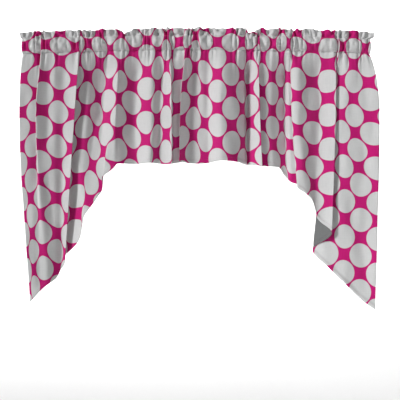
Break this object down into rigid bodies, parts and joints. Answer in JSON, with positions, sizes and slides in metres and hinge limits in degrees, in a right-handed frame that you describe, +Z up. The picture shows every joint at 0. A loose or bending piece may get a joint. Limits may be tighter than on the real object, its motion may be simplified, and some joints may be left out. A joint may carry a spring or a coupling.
{
  "type": "swag valance",
  "caption": "Gathered swag valance with a rod pocket and ruffle, a short middle and long slanted tails, in a large dotted print.",
  "frame": {"origin": "on the rod line, half way along the rod pocket, where the middle of the rod goes", "axes": "+X along the rod to the right as seen from the room, -Y out of the printed face towards the room, +Z up"},
  "size_m": [1.1892, 0.0806, 0.9323],
  "materials": {
    "printed_cloth": "matte woven cloth, magenta with large light grey dots, plain grey on the back"
  },
  "bodies": {
    "root": {"swag_panel": "printed_cloth", "heading": "printed_cloth"}
  },
  "joints": []
}
